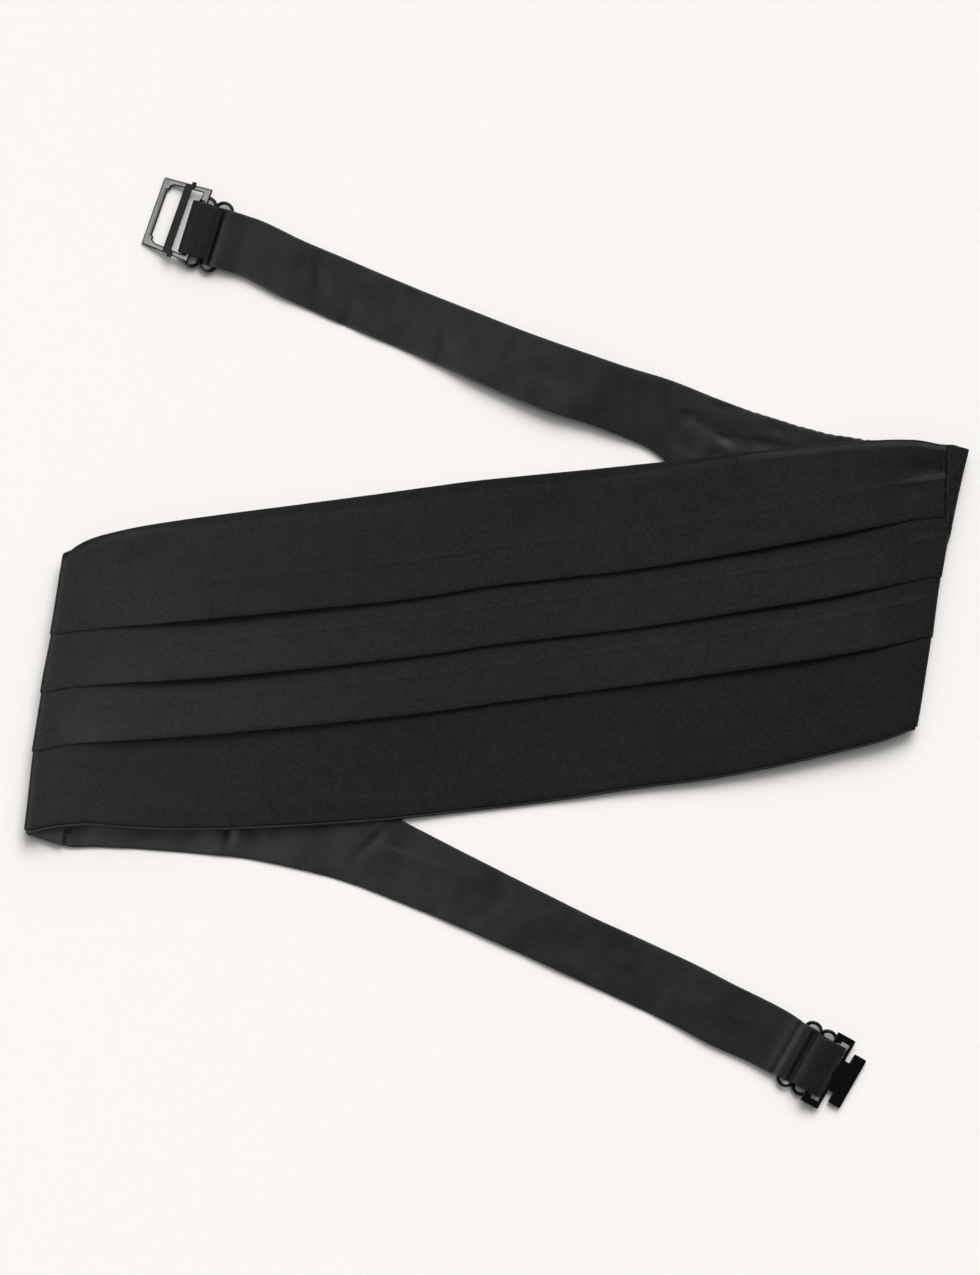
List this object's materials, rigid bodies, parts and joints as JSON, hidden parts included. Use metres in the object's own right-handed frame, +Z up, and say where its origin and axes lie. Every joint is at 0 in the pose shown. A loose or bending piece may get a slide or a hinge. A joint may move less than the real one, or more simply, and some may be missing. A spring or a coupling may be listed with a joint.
{
  "type": "cummerbund",
  "caption": "Black pleated cummerbund laid flat, its tapered wings and straps folded under in a Z, with adjuster slides and a hook and eye clasp at the strap ends.",
  "frame": {"origin": "on the surface it lies on, under the middle of its bounding box", "axes": "+Z up from the surface, +X along the front towards its right end, +Y towards the front's top edge and the eye clasp"},
  "size_m": [0.3934, 0.392, 0.0128],
  "materials": {
    "front_cloth": "matt fine woven barathea",
    "satin_lining": "smooth satin with a soft sheen",
    "black_nickel": "polished black nickel",
    "black_enamel": "gloss black enamel on steel"
  },
  "bodies": {
    "garment": {"pleated_front": "front_cloth", "front_lining": "satin_lining", "right_wing": "satin_lining", "left_wing": "satin_lining", "frame_loop": "front_cloth", "hook_loop": "front_cloth", "frame_slide": "black_enamel", "hook_slide": "black_enamel"},
    "eye_clasp": {"clasp_frame": "black_nickel", "clasp_crossbar": "black_enamel"},
    "hook_clasp": {"clasp_hook": "black_enamel"}
  },
  "joints": [
    {"name": "eye_swing", "type": "hinge", "parent": "garment", "child": "eye_clasp", "pos_m": [-0.12414, 0.17541, 0.0044], "axis": [0.3332, 0.9429, 0], "range_deg": [0, 160]},
    {"name": "hook_swing", "type": "hinge", "parent": "garment", "child": "hook_clasp", "pos_m": [0.13757, -0.17803, 0.0044], "axis": [-0.4955, -0.8686, 0], "range_deg": [0, 160]}
  ]
}
